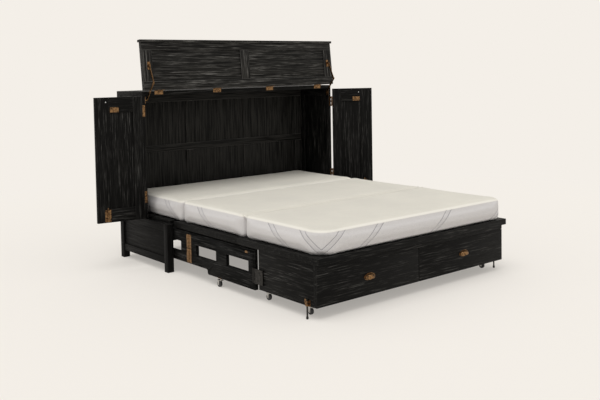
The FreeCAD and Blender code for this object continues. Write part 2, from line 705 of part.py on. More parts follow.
pivotBlocks = []
chestStraps = []
for side in (-1, 1):
    tag = "left" if side < 0 else "right"
    gate("gate_rear_" + tag, side, -gateBasePivot - 1, -gateMidPivot + 0.4, GATE_WINDOWS_REAR,
         False, (gateBasePivot, gateMidPivot))
    gate("gate_front_" + tag, side, -gateMidPivot - 0.4, -gateChestPivot + 0.4,
         GATE_WINDOWS_FRONT, True, (gateMidPivot, gateChestPivot))
    face = side * gateOuter
    skin = face + side * 0.6
    pinX = side * pivotX
    rear = []
    front = []

    def gateLeaf(name, pivot, sign, z, length, first):
        """A hinge half on a gate's outer face, to the front or the rear of its pivot."""
        half = knuckles(name, (pinX, -pivot, z), (0, 0, 1), 0, length, 5, first)
        half += tabs(name, (face, -pivot, 0), (skin, -pivot + sign * 4, 0), 2, z, length, 5, first)
        half.append(span(name + "Leaf", (face, -pivot + sign * 3.9, z),
                         (skin, -pivot + sign * GATE_LEAF, z + length)))
        return fuse(name + "Half", half)

    for number, z in enumerate(GATE_HINGES):
        rear.append(gateLeaf("RearLeaf%s%d" % (tag, number), gateMidPivot, 1, z,
                             GATE_HINGE_LENGTH, 0))
        front.append(gateLeaf("FrontLeaf%s%d" % (tag, number), gateMidPivot, -1, z,
                              GATE_HINGE_LENGTH, 1))
    # The two end pivots come to the same place when the bed folds, so they sit one above the other.
    rear.append(gateLeaf("BaseLeaf" + tag, gateBasePivot, -1, BASE_PIVOT_Z, END_PIVOT_LENGTH, 1))
    front.append(gateLeaf("ChestLeaf" + tag, gateChestPivot, 1, CHEST_PIVOT_Z, END_PIVOT_LENGTH, 1))
    middle = face - side * S["GateThickness"] / 2
    front.append(span("GateCasterPlate" + tag,
                      (middle - 11, GATE_CASTER_Y - 20, S["GateBottomLow"] - 2),
                      (middle + 11, GATE_CASTER_Y + 20, S["GateBottomLow"])))
    front.append(span("GateCatch" + tag, (face, -1466, 256), (face + side * 0.6, -1416, 268)))
    keep(group("gate_rear_%s_hinges" % tag, rear))
    keep(group("gate_front_%s_fittings" % tag, front))
    # The cabinet's half of the rear pivot stands off the base side's inner face.
    name = "CabinetPivot" + tag
    wall = side * (halfWidth - S["LegSize"] + 2 * S["SidePanelInset"])
    half = knuckles(name, (pinX, -gateBasePivot, BASE_PIVOT_Z), (0, 0, 1), 0, END_PIVOT_LENGTH, 5, 0)
    half += tabs(name, (pinX, -gateBasePivot, 0), (pinX + side * 3, -gateBasePivot + 5, 0), 2,
                 BASE_PIVOT_Z, END_PIVOT_LENGTH, 5, 0)
    half.append(span(name + "Block", (pinX + side * 1.0, -gateBasePivot + 4, BASE_PIVOT_Z),
                     (wall, -gateBasePivot + 30, BASE_PIVOT_Z + END_PIVOT_LENGTH)))
    pivotBlocks.append(fuse(name + "Half", half))
    # The chest's half of the front pivot is a strap outside the gap, packed off the chest's side.
    name = "ChestStrap" + tag
    chestFace = side * S["ChestWidth"] / 2
    inner = pinX + side * 0.5
    outer = pinX + side * 2.3
    half = knuckles(name, (pinX, -gateChestPivot, CHEST_PIVOT_Z), (0, 0, 1), 0, END_PIVOT_LENGTH, 5, 0)
    half += tabs(name, (inner, -gateChestPivot - 4.5, 0), (outer, -gateChestPivot, 0), 2,
                 CHEST_PIVOT_Z, END_PIVOT_LENGTH, 5, 0)
    half.append(span(name + "Plate", (inner, -gateChestPivot - 4, CHEST_PIVOT_Z),
                     (outer, -chestRear - 45, CHEST_PIVOT_Z + END_PIVOT_LENGTH)))
    half.append(span(name + "Packer", (chestFace, -chestRear - 3, CHEST_PIVOT_Z),
                     (inner, -chestRear - 45, CHEST_PIVOT_Z + END_PIVOT_LENGTH)))
    chestStraps.append(fuse(name + "Half", half))
    caster("gate_caster_" + tag, middle, GATE_CASTER_Y, S["GateBottomLow"] - 2, 1)
keep(group("gate_pivot_blocks", pivotBlocks))
keep(group("chest_gate_straps", chestStraps))


# ---- the chest of drawers ----------------------------------------------------------------------

def chestCase():
    """An open-fronted case with two cells and a rail above them."""
    body = newBody("chest_case")
    case = newSketch(body, "XZ_Plane", "%s" % chestRear)
    rectangle(case, "-Sizes.ChestWidth / 2", "Sizes.ChestBottom", "Sizes.ChestWidth / 2",
              "Sizes.ChestTop")
    pad(body, case, "Sizes.ChestDepth - Sizes.DrawerFrontThickness")
    rail = newSketch(body, "XZ_Plane", "%s + Sizes.ChestDepth - Sizes.DrawerFrontThickness - 1"
                     % chestRear)
    rectangle(rail, "-Sizes.ChestWidth / 2", "Sizes.ChestTop - Sizes.TopRailHeight",
              "Sizes.ChestWidth / 2", "Sizes.ChestTop")
    pad(body, rail, "Sizes.DrawerFrontThickness + 1")
    cells = newSketch(body, "XZ_Plane", "%s + Sizes.ChestDepth - Sizes.DrawerFrontThickness"
                      % chestRear)
    floor = "Sizes.ChestBottom + Sizes.CaseFloor"
    ceiling = "Sizes.ChestTop - Sizes.TopRailHeight"
    rectangle(cells, "-Sizes.ChestWidth / 2 + Sizes.CaseWall", floor, "-Sizes.CaseWall / 2", ceiling)
    rectangle(cells, "Sizes.CaseWall / 2", floor, "Sizes.ChestWidth / 2 - Sizes.CaseWall", ceiling)
    pocket(body, cells, "Sizes.ChestDepth - Sizes.DrawerFrontThickness - Sizes.CaseFloor")
    return keep(body)


def drawer(tag, side):
    """A drawer box, its overlaid front and a cup pull."""
    left = "Sizes.CaseWall / 2 + 4" if side > 0 else "-Sizes.ChestWidth / 2 + Sizes.CaseWall + 4"
    right = "Sizes.ChestWidth / 2 - Sizes.CaseWall - 4" if side > 0 else "-Sizes.CaseWall / 2 - 4"
    frontFace = "%s + Sizes.ChestDepth - Sizes.DrawerFrontThickness + 0.5" % chestRear
    floor = "Sizes.ChestBottom + Sizes.CaseFloor + 3"
    body = newBody("drawer_box_" + tag)
    outline = newSketch(body, "XZ_Plane", frontFace)
    rectangle(outline, left, floor, right, floor + " + Sizes.DrawerHeight")
    boxPad = pad(body, outline, "Sizes.ChestDepth - Sizes.DrawerFrontThickness - 36")
    boxPad.Reversed = True
    inside = newSketch(body, "XY_Plane", floor + " + Sizes.DrawerHeight")
    rectangle(inside, left + " + Sizes.DrawerWall", "-(%s) + Sizes.DrawerWall" % frontFace,
              right + " - Sizes.DrawerWall",
              "-(%s) + Sizes.ChestDepth - Sizes.DrawerFrontThickness - 36 - Sizes.DrawerWall"
              % frontFace)
    pocket(body, inside, "Sizes.DrawerHeight - 8")
    keep(body)
    face = newBody("drawer_front_" + tag)
    board = newSketch(face, "XZ_Plane", frontFace)
    edges = ("1.5", "Sizes.ChestWidth / 2 - 0.5")
    if side < 0:
        edges = ("-(" + edges[1] + ")", "-" + edges[0])
    rectangle(board, edges[0], "Sizes.ChestBottom + 1", edges[1],
              "Sizes.ChestTop - Sizes.TopRailHeight - 1.5")
    pad(face, board, "Sizes.DrawerFrontThickness - 0.5")
    chamfer(face, 1.5, lambda edge: edge.BoundBox.YMax < -chestFront + 1.6)
    keep(face)


def cupPull(tag, x, z):
    """A cup pull: a quarter of a flattened ball, hollow and open below, on a thin back plate."""
    frontY = -chestFront + 1.0
    halfLength = 45.0
    outside = Part.makeSphere(halfLength)
    inside = Part.makeSphere(halfLength - 3.0)
    quarter = Part.makeBox(120, 60, 60, vector(-60, -60, 0))
    shell = outside.cut(inside).common(quarter)
    squeeze = FreeCAD.Matrix()
    squeeze.scale(1.0, PULL_DEPTH / halfLength, PULL_HEIGHT / halfLength)
    cup = doc.addObject("Part::Feature", "PullCup" + tag)
    cup.Shape = shell.transformGeometry(squeeze)
    cup.Placement.Base = vector(x, frontY - 1.5, z - PULL_HEIGHT / 2)
    plate = box("PullPlate" + tag, (x - halfLength - 2, frontY - 1.5, z - PULL_HEIGHT / 2 - 8),
                (x + halfLength + 2, frontY, z + PULL_HEIGHT / 2 + 6))
    keep(group("cup_pull_" + tag, [cup, plate]))


chestCase()
for side in (-1, 1):
    tag = "left" if side < 0 else "right"
    drawer(tag, side)
    cupPull(tag, side * 395.0, 167.0)

CHEST_CASTERS = ((715.0, -1570.0, "rear"), (715.0, -1930.0, "front"))
plates = []
for side in (-1, 1):
    tag = "left" if side < 0 else "right"
    for x, y, end in CHEST_CASTERS:
        caster("chest_caster_%s_%s" % (end, tag), side * x, y, CASTER_HEIGHT, 1)
        plates.append(box("ChestCasterPlate%s%s" % (end, tag), (side * x - 20, y - 24, CASTER_HEIGHT),
                          (side * x + 20, y + 24, S["ChestBottom"])))
keep(group("chest_caster_plates", plates))

# ---- the two sliding stops at the chest's front corners ---------------------------------------

STOP_Y = -1962.0
stopPlates = []
for side in (-1, 1):
    tag = "left" if side < 0 else "right"
    face = side * S["ChestWidth"] / 2
    plate = span("StopPlate" + tag, (face, STOP_Y - 19, 66.0), (face + side * 1.6, STOP_Y + 27, 100.0))
    middle = face + side * 7.0
    block = span("StopGuide" + tag, (face, STOP_Y - 9, 68.0), (face + side * 13, STOP_Y + 9, 96.0))
    bore = cylinder("StopBore" + tag, (middle, STOP_Y, 60.0), (0, 0, 1), 4.5 + GAP, 50.0)
    stopPlates.append(cut("StopHolder" + tag, fuse("StopBody" + tag, [plate, block]), bore))
    rod = cylinder("StopRod" + tag, (middle, STOP_Y, 3.0), (0, 0, 1), 4.5, 102.0)
    foot = cylinder("StopFoot" + tag, (middle, STOP_Y, 0.0), (0, 0, 1), 6.5, 12.0)
    keep(fuse("floor_stop_" + tag, [rod, foot]))
keep(group("floor_stop_plates", stopPlates))


# ---- mattress ----------------------------------------------------------------------------------

def roundedOutline(nearY, farY, inset, z, nearCorner, farCorner):
    """A rectangle with rounded corners, as one wire at the given height."""
    halfX = S["MattressWidth"] / 2 - inset
    near = nearY - inset
    far = farY + inset
    corners = ((halfX, near, nearCorner, 0), (-halfX, near, nearCorner, 90),
               (-halfX, far, farCorner, 180), (halfX, far, farCorner, 270))
    points = []
    edges = []
    for x, y, radius, start in corners:
        middleX = x - math.copysign(radius, x)
        middleY = y - radius if y == near else y + radius
        arc = [vector(middleX + radius * math.cos(math.radians(start + step)),
                      middleY + radius * math.sin(math.radians(start + step)), z)
               for step in (0, 45, 90)]
        if points:
            edges.append(Part.LineSegment(points[-1], arc[0]).toShape())
        edges.append(Part.Arc(*arc).toShape())
        points.extend([arc[0], arc[2]])
    edges.append(Part.LineSegment(points[-1], points[0]).toShape())
    return Part.Wire(edges)


def mattressSection(name, nearY, farY, nearCorner, farCorner):
    """A section whose sides draw in above and below their middle and whose top is crowned."""
    bottom = S["PlatformTop"] + 0.3
    rise = S["MattressThickness"] - 0.3
    profile = ((13.0, 0.0), (4.0, 0.06), (0.0, 0.2), (0.0, 0.78), (4.0, 0.91), (14.0, 0.98),
               (60.0, 1.0))
    wires = [roundedOutline(nearY, farY, inset, bottom + rise * share, nearCorner, farCorner)
             for inset, share in profile]
    section = doc.addObject("Part::Feature", name)
    section.Label = name
    section.Shape = Part.makeLoft(wires, True, True)
    return keep(section)


third = S["MattressLength"] / 3
headEnd = -HEAD_GAP
smallCorner = 61.0
mattressSection("mattress_head", headEnd, headEnd - third + MATTRESS_GAP / 2, 90.0, smallCorner)
mattressSection("mattress_middle", headEnd - third - MATTRESS_GAP / 2,
                headEnd - 2 * third + MATTRESS_GAP / 2, smallCorner, smallCorner)
mattressSection("mattress_foot", headEnd - 2 * third - MATTRESS_GAP / 2,
                headEnd - 3 * third, smallCorner, 110.0)

# ---- check and write ------------------------------------------------------------------------------

doc.recompute()
failed = [obj.Name for obj in doc.Objects if {"Invalid", "Error"} & set(obj.State)]
if failed:
    raise RuntimeError("failed objects: " + ", ".join(failed))
bounds = FreeCAD.BoundBox()
for piece in nodes:
    bounds.add(piece.Shape.BoundBox)
shift = vector(-(bounds.XMin + bounds.XMax) / 2, -(bounds.YMin + bounds.YMax) / 2, -bounds.ZMin)
print("shift %.4f %.4f %.4f" % tuple(shift))
os.makedirs("parts", exist_ok=True)
for piece in nodes:
    if piece.Shape.isNull() or not piece.Shape.isValid():
        raise RuntimeError(piece.Label + ": the shape is not valid")
    moved = piece.Shape.copy()
    moved.translate(shift)
    moved.exportStep("parts/%s.step" % piece.Label)
print("%d sub-parts written" % len(nodes))
print("pivots: base %.1f mid %.1f chest %.1f ridge %.1f plane %.2f"
      % (gateBasePivot, gateMidPivot, gateChestPivot, ridgeY, pivotX))
print("stay: lid (%.2f, %.2f) shut (%.2f, %.2f)" % (stayLid + stayLidShut))
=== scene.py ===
import math
import bpy
import bmesh
from mathutils import Matrix, Vector


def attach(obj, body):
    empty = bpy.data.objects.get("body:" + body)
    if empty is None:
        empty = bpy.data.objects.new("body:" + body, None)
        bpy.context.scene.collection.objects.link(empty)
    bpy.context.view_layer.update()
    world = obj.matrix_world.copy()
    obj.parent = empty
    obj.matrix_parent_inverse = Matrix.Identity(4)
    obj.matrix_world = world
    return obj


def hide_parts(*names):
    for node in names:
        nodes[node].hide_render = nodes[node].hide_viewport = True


# A cabinet bed, opened out. Sizes below are in millimetres, measured as in the
# piece's own drawing: X across the bed, Y = 0 at the cabinet's back and the foot of the bed at -Y, Z up.

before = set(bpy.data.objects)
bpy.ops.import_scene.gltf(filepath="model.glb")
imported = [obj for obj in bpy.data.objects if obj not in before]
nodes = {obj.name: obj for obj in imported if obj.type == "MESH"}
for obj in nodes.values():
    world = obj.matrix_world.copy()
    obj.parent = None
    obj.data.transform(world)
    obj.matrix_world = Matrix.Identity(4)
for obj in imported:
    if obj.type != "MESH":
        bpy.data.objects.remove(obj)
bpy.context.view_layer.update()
toFrame = Matrix.Translation((0.0229422, 1.028, 0.0)) @ Matrix.Scale(0.001, 4)


def newMaterial(name):
    material = bpy.data.materials.new(name)
    material.use_nodes = True
    tree = material.node_tree
    tree.nodes.clear()
    output = tree.nodes.new("ShaderNodeOutputMaterial")
    shader = tree.nodes.new("ShaderNodeBsdfPrincipled")
    tree.links.new(shader.outputs["BSDF"], output.inputs["Surface"])
    return material, tree, shader


def addNode(tree, kind, **values):
    node = tree.nodes.new(kind)
    for key, value in values.items():
        if key in ("operation", "blend_type", "data_type", "attribute_name", "wave_type", "bands_direction",
                   "wave_profile", "feature", "invert", "interpolation_type", "clamp", "use_clamp"):
            setattr(node, key, value)
        else:
            node.inputs[key].default_value = value
    return node


# Feeds a texture through a Mapping node.
def stretched(tree, source, scale):
    mapping = tree.nodes.new("ShaderNodeMapping")
    mapping.inputs["Scale"].default_value = scale
    tree.links.new(source, mapping.inputs["Vector"])
    return mapping.outputs["Vector"]


def noise(tree, vector, scale=1.0, detail=3.0, rough=0.5, distortion=0.0):
    node = addNode(tree, "ShaderNodeTexNoise", Scale=scale, Detail=detail, Roughness=rough,
                   Distortion=distortion)
    tree.links.new(vector, node.inputs["Vector"])
    return node.outputs["Fac"]


def spread(tree, value, low, high, toLow=0.0, toHigh=1.0):
    node = addNode(tree, "ShaderNodeMapRange", clamp=True)
    node.inputs["From Min"].default_value = low
    node.inputs["From Max"].default_value = high
    node.inputs["To Min"].default_value = toLow
    node.inputs["To Max"].default_value = toHigh
    tree.links.new(value, node.inputs["Value"])
    return node.outputs["Result"]


def mathNode(tree, operation, first, second=None, third=None):
    node = addNode(tree, "ShaderNodeMath", operation=operation)
    for index, value in enumerate((first, second, third)):
        if value is None:
            continue
        if isinstance(value, (int, float)):
            node.inputs[index].default_value = value
        else:
            tree.links.new(value, node.inputs[index])
    return node.outputs[0]


def mixColour(tree, factor, first, second):
    node = addNode(tree, "ShaderNodeMix", data_type="RGBA")
    for socket, value in ((node.inputs[6], first), (node.inputs[7], second)):
        if isinstance(value, tuple):
            socket.default_value = value + (1.0,)
        else:
            tree.links.new(value, socket)
    if isinstance(factor, float):
        node.inputs[0].default_value = factor
    else:
        tree.links.new(factor, node.inputs[0])
    return node.outputs[2]


def addBump(tree, shader, height, distance, strength=1.0, under=None):
    bump = addNode(tree, "ShaderNodeBump", Strength=strength, Distance=distance)
    tree.links.new(height, bump.inputs["Height"])
    if under is not None:
        tree.links.new(under, bump.inputs["Normal"])
    tree.links.new(bump.outputs["Normal"], shader.inputs["Normal"])
    return bump.outputs["Normal"]


def attribute(tree, name):
    return addNode(tree, "ShaderNodeAttribute", attribute_name=name)


charcoal = {
    "dark": (0.0016, 0.0016, 0.0015),
    "body": (0.0050, 0.0048, 0.0044),
    "brushed": (0.0800, 0.0780, 0.0740),
    "worn": (0.0200, 0.0195, 0.0185),
    "roughness": (0.46, 0.70),
    "specular": 0.09,
    "grooveDepth": 0.0014,
}


# Oak stained near black and wire-brushed, so that its soft grain lies in grooves. Its colours can be scaled to
# paint a whole copy lighter or darker, as painted light or shade.
def brushedWood(name, look, paintedLightScale=1.0, streaks=1.0):
    material, tree, shader = newMaterial(name)
    grain = attribute(tree, "grain").outputs["Vector"]
    wear = attribute(tree, "wear").outputs["Fac"]
    bands = noise(tree, stretched(tree, grain, (1.6, 34, 34)), detail=4.0, distortion=1.1)
    wide = noise(tree, stretched(tree, grain, (5.0, 150, 150)), detail=3.5, distortion=0.35)
    fine = noise(tree, stretched(tree, grain, (14.0, 420, 420)), detail=2.0)
    pores = noise(tree, stretched(tree, grain, (28.0, 900, 900)), detail=1.0)
    streak = mathNode(tree, "MULTIPLY", spread(tree, wide, 0.49, 0.64), spread(tree, fine, 0.46, 0.64))
    streak = mathNode(tree, "MULTIPLY", streak, spread(tree, bands, 0.36, 0.60, 0.25, 1.0))
    base = mixColour(tree, spread(tree, wide, 0.36, 0.60), look["dark"],
                     tuple(value * paintedLightScale for value in look["body"]))
    streaked = mixColour(tree, mathNode(tree, "MULTIPLY", streak, streaks), base,
                         tuple(value * paintedLightScale for value in look["brushed"]))
    worn = mixColour(tree, mathNode(tree, "MULTIPLY", wear, spread(tree, fine, 0.3, 0.7, 0.25, 0.9)),
                     streaked, tuple(value * paintedLightScale for value in look["worn"]))
    tree.links.new(worn, shader.inputs["Base Color"])
    tree.links.new(spread(tree, wide, 0.35, 0.65, look["roughness"][0], look["roughness"][1]),
                   shader.inputs["Roughness"])
    shader.inputs["Specular IOR Level"].default_value = look["specular"]
    height = mathNode(tree, "MULTIPLY_ADD", wide, 0.8, mathNode(tree, "MULTIPLY_ADD", fine, 0.45,
                      mathNode(tree, "MULTIPLY_ADD", bands, 0.7, mathNode(tree, "MULTIPLY", pores, 0.15))))
    addBump(tree, shader, height, look["grooveDepth"], 0.85)
    return material


# Metal with darker patina in blotches and fine scratches.
def agedMetal(name, clean, patina, roughness, amount=(0.45, 0.62), bumpDepth=0.0002):
    material, tree, shader = newMaterial(name)
    place = tree.nodes.new("ShaderNodeTexCoord").outputs["Object"]
    blotch = noise(tree, place, scale=90.0, detail=5.0, rough=0.62)
    speck = noise(tree, place, scale=620.0, detail=2.0)
    colour = mixColour(tree, spread(tree, blotch, amount[0], amount[1]), clean, patina)
    tree.links.new(colour, shader.inputs["Base Color"])
    tree.links.new(spread(tree, blotch, 0.35, 0.7, roughness[0], roughness[1]), shader.inputs["Roughness"])
    shader.inputs["Metallic"].default_value = 1.0
    addBump(tree, shader, mathNode(tree, "MULTIPLY_ADD", speck, 0.4, blotch), bumpDepth, 0.5)
    return material


brassTones = {"clean": (0.27, 0.155, 0.072), "patina": (0.055, 0.032, 0.018), "roughness": (0.30, 0.52)}


# Brass painted near black at the chest end, as painted shade of the gap where the hinge hides in the gate's edge.
def brassWithPaintedShade(name, paintedShadeBelow):
    material, tree, shader = newMaterial(name)
    place = tree.nodes.new("ShaderNodeTexCoord").outputs["Object"]
    blotch = noise(tree, place, scale=90.0, detail=5.0, rough=0.62)
    colour = mixColour(tree, spread(tree, blotch, 0.45, 0.62), brassTones["clean"], brassTones["patina"])
    split = addNode(tree, "ShaderNodeSeparateXYZ")
    tree.links.new(place, split.inputs[0])
    # painted shade: past this point along Y the brass turns near black, standing in for the shade of the gap
    dark = spread(tree, split.outputs[1], paintedShadeBelow - 0.002, paintedShadeBelow + 0.002, 1.0, 0.0)
    tree.links.new(mixColour(tree, dark, colour, (0.012, 0.011, 0.010)), shader.inputs["Base Color"])
    rough = brassTones["roughness"]
    tree.links.new(spread(tree, blotch, 0.35, 0.7, rough[0], rough[1]), shader.inputs["Roughness"])
    shader.inputs["Metallic"].default_value = 1.0
    addBump(tree, shader, blotch, 0.0002, 0.5)
    return material


def mouldedBlack(name, colour, roughness):
    material, tree, shader = newMaterial(name)
    place = tree.nodes.new("ShaderNodeTexCoord").outputs["Object"]
    scuff = noise(tree, place, scale=240.0, detail=3.0)
    tone = mixColour(tree, spread(tree, scuff, 0.4, 0.7), colour, tuple(1.7 * value for value in colour))
    tree.links.new(tone, shader.inputs["Base Color"])
    tree.links.new(spread(tree, scuff, 0.3, 0.7, roughness[0], roughness[1]), shader.inputs["Roughness"])
    addBump(tree, shader, scuff, 0.0001, 0.4)
    return material


ticking = {
    "top": (0.735, 0.705, 0.625),
    "topShade": (0.690, 0.662, 0.590),
    "side": (0.700, 0.680, 0.672),
    "sideShade": (0.610, 0.592, 0.590),
    # a pale line painted along the sewn top edge as a highlight
    "edge": (0.86, 0.83, 0.755),
    "bandLine": (0.30, 0.295, 0.33),
    "bandLight": (0.74, 0.72, 0.715),
    "sideBands": (-20.0, 253.0, 977.0, 1378.0),
    "footBands": (-24.0, 265.0, 830.0, 1328.0),
    "bandWidth": 45.0,
    "bandSlope": 1.3,
    "edgeHeight": 124.0,
}


# A knitted cover: ivory on top, light grey round the border, with slanting sewn bands.
def mattressCloth(name, look):
    material, tree, shader = newMaterial(name)
    place = tree.nodes.new("ShaderNodeTexCoord").outputs["Object"]
    border = attribute(tree, "border").outputs["Vector"]
    split = addNode(tree, "ShaderNodeSeparateXYZ")
    tree.links.new(border, split.inputs[0])
    along, height, topward = split.outputs[0], split.outputs[1], split.outputs[2]
    # knit: rows of small loops
    rows = noise(tree, stretched(tree, place, (260, 620, 260)), detail=2.0)
    loops = addNode(tree, "ShaderNodeTexVoronoi", feature="F1", Scale=1.0)
    tree.links.new(stretched(tree, place, (330, 250, 300)), loops.inputs["Vector"])
    cloud = noise(tree, place, scale=3.2, detail=4.0, rough=0.6)
    wale = noise(tree, stretched(tree, place, (6, 90, 60)), detail=2.0)
    topColour = mixColour(tree, spread(tree, cloud, 0.36, 0.66), look["top"], look["topShade"])
    topColour = mixColour(tree, spread(tree, wale, 0.45, 0.75, 0.0, 0.35), topColour, look["topShade"])
    sideColour = mixColour(tree, spread(tree, rows, 0.36, 0.66), look["side"], look["sideShade"])
    # the slanting bands: two dark lines each with a light line beside it and hatching between
    slanted = mathNode(tree, "MULTIPLY_ADD", height, -look["bandSlope"], along)
    onFoot = spread(tree, topward, 0.45, 0.55)
    onLong = mathNode(tree, "SUBTRACT", 1.0, onFoot)
    ink = None
    fill = None
    pale = None
    starts = [(start, onLong) for start in look["sideBands"]]
    starts += [(start, onFoot) for start in look["footBands"]]
    for start, where in starts:
        across = mathNode(tree, "SUBTRACT", slanted, start)
        # off this side the band is moved out of reach
        across = mathNode(tree, "ADD", across, mathNode(tree, "MULTIPLY_ADD", where, -9000.0, 9000.0))
        for offset in (0.0, look["bandWidth"]):
            near = mathNode(tree, "ABSOLUTE", mathNode(tree, "SUBTRACT", across, offset))
            line = spread(tree, near, 1.2, 4.2, 1.0, 0.0)
            ink = line if ink is None else mathNode(tree, "MAXIMUM", ink, line)
            beside = mathNode(tree, "ABSOLUTE", mathNode(tree, "SUBTRACT", across, offset + 7.0))
            glow = spread(tree, beside, 1.5, 5.0, 1.0, 0.0)
            pale = glow if pale is None else mathNode(tree, "MAXIMUM", pale, glow)
        middle = mathNode(tree, "ABSOLUTE", mathNode(tree, "SUBTRACT", across, look["bandWidth"] / 2))
        inside = spread(tree, middle, look["bandWidth"] / 2 - 4, look["bandWidth"] / 2, 1.0, 0.0)
        fill = inside if fill is None else mathNode(tree, "MAXIMUM", fill, inside)
    onSide = spread(tree, height, look["edgeHeight"] - 8, look["edgeHeight"] - 3, 1.0, 0.0)
    ink = mathNode(tree, "MULTIPLY", ink, onSide)
    pale = mathNode(tree, "MULTIPLY", pale, onSide)
    fill = mathNode(tree, "MULTIPLY", fill, onSide)
    hatch = mathNode(tree, "SINE", mathNode(tree, "MULTIPLY", mathNode(tree, "ADD", along, height), 0.75))
    hatch = mathNode(tree, "MULTIPLY", spread(tree, hatch, -0.2, 0.9), fill)
    sideColour = mixColour(tree, mathNode(tree, "MULTIPLY", hatch, 0.30), sideColour, look["bandLine"])
    sideColour = mixColour(tree, mathNode(tree, "MULTIPLY", pale, 0.55), sideColour, look["bandLight"])
    sideColour = mixColour(tree, mathNode(tree, "MULTIPLY", ink, 0.50), sideColour, look["bandLine"])
    # the sewn edge between border and top, with a pale line painted on it as a highlight
    edgeGap = mathNode(tree, "ABSOLUTE", mathNode(tree, "SUBTRACT", height, look["edgeHeight"]))
    edge = spread(tree, edgeGap, 2.5, 7.5, 1.0, 0.0)
    colour = mixColour(tree, spread(tree, height, look["edgeHeight"] - 2, look["edgeHeight"] + 2),
                       sideColour, topColour)
    edge = mathNode(tree, "MULTIPLY", edge, attribute(tree, "rim").outputs["Fac"])
    colour = mixColour(tree, mathNode(tree, "MULTIPLY", edge, 0.85), colour, look["edge"])
    tree.links.new(colour, shader.inputs["Base Color"])
    shader.inputs["Roughness"].default_value = 0.92
    shader.inputs["Specular IOR Level"].default_value = 0.18
    shader.inputs["Sheen Weight"].default_value = 0.12
    shader.inputs["Sheen Roughness"].default_value = 0.5
    knitHeight = mathNode(tree, "MULTIPLY_ADD", rows, 0.5, loops.outputs["Distance"])
    knit = addBump(tree, shader, knitHeight, 0.0009, 0.45)
    soft = addBump(tree, shader, cloud, 0.012, 0.35, knit)
    seams = mathNode(tree, "MULTIPLY_ADD", ink, -1.0, mathNode(tree, "MULTIPLY", fill, 0.35))
    addBump(tree, shader, seams, 0.0035, 0.9, soft)
    return material


wood = brushedWood("charcoalOak", charcoal)
# copies of the same oak painted lighter (lid underside, cabinet inside and drawer boxes, chest and drawer fronts)
# or darker (base sides), as painted light and shade of how light falls on them
litLidWood = brushedWood("charcoalOakLidPaintedLit", charcoal, paintedLightScale=6.0, streaks=0.36)
litInsideWood = brushedWood("charcoalOakInsidePaintedLit", charcoal, paintedLightScale=5.4, streaks=0.02)
shadedBaseWood = brushedWood("charcoalOakBasePaintedShade", charcoal, paintedLightScale=0.4, streaks=0.6)
litFrontWood = brushedWood("charcoalOakFrontPaintedLit", charcoal, paintedLightScale=1.1, streaks=0.95)
# where the painted shade on the gate fittings begins
gapShadeFrom = 1.028 - 1.44
gateBrass = brassWithPaintedShade("gateBrass", gapShadeFrom)
brass = agedMetal("antiqueBrass", brassTones["clean"], brassTones["patina"], brassTones["roughness"])
steel = agedMetal("casterSteel", (0.46, 0.45, 0.43), (0.20, 0.19, 0.18), (0.18, 0.36), (0.52, 0.80))
darkMetal = agedMetal("darkMetal", (0.045, 0.043, 0.040), (0.018, 0.017, 0.016), (0.38, 0.60))
wheelBlack = mouldedBlack("wheelBlack", (0.016, 0.016, 0.017), (0.30, 0.48))
bumperWhite = mouldedBlack("bumperWhite", (0.46, 0.46, 0.45), (0.35, 0.5))
cover = mattressCloth("mattressCover", ticking)
print("materials ready")


memberCount = [0]


# Stores where each point lies along and across the grain, apart for each board.
def writeGrain(bm, verts, grain, edgeFaces=()):
    layer = bm.verts.layers.float_vector.get("grain") or bm.verts.layers.float_vector.new("grain")
    wearLayer = bm.faces.layers.float.get("wear") or bm.faces.layers.float.new("wear")
    memberCount[0] += 1
    step = memberCount[0]
    shift = Vector((step * 0.731 % 7.0, step * 0.377 % 3.0, step * 0.213 % 3.0))
    order = {"x": (0, 1, 2), "y": (1, 2, 0), "z": (2, 0, 1)}[grain]
    for vert in verts:
        place = vert.co * 0.001
        vert[layer] = Vector((place[order[0]], place[order[1]], place[order[2]])) + shift
    for face in edgeFaces:
        face[wearLayer] = 1.0


# One board with eased edges.
def addBoard(bm, low, high, grain, edge=1.6):
    known = set(bm.verts)
    made = bmesh.ops.create_cube(bm, size=1.0)["verts"]
    size = Vector(high) - Vector(low)
    bmesh.ops.scale(bm, vec=size, verts=made)
    bmesh.ops.translate(bm, vec=(Vector(low) + Vector(high)) / 2, verts=made)
    bm.verts.layers.float_vector.get("grain") or bm.verts.layers.float_vector.new("grain")
    bm.faces.layers.float.get("wear") or bm.faces.layers.float.new("wear")
    made = [vert for vert in bm.verts if vert not in known]
    edges = list({joined for vert in made for joined in vert.link_edges})
    rounded = bmesh.ops.bevel(bm, geom=edges, offset=edge, offset_type="OFFSET", segments=2, profile=0.5,
                              affect="EDGES", material=-1)["faces"]
    writeGrain(bm, [vert for vert in bm.verts if vert not in known], grain, rounded)


# Turns the piece, sets it in the frame and lets it ride on its body.
def finishPiece(name, bm, body, material, replaced=(), turn=None, smoothBy=35.0):
    if turn is not None:
        bmesh.ops.transform(bm, matrix=turn, verts=bm.verts)
    bmesh.ops.transform(bm, matrix=toFrame, verts=bm.verts)
    mesh = bpy.data.meshes.new(name)
    bm.to_mesh(mesh)
    bm.free()
    for polygon in mesh.polygons:
        polygon.use_smooth = True
    mesh.set_sharp_from_angle(angle=math.radians(smoothBy))
    mesh.materials.append(material)
    piece = bpy.data.objects.new(name, mesh)
    bpy.context.scene.collection.objects.link(piece)
    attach(piece, body)
    if replaced:
        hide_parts(*replaced)
    return piece


def boards(name, body, material, replaced, members, turn=None, edge=1.6):
    bm = bmesh.new()
    for low, high, grain in members:
        addBoard(bm, low, high, grain, edge)
    return finishPiece(name, bm, body, material, replaced, turn)


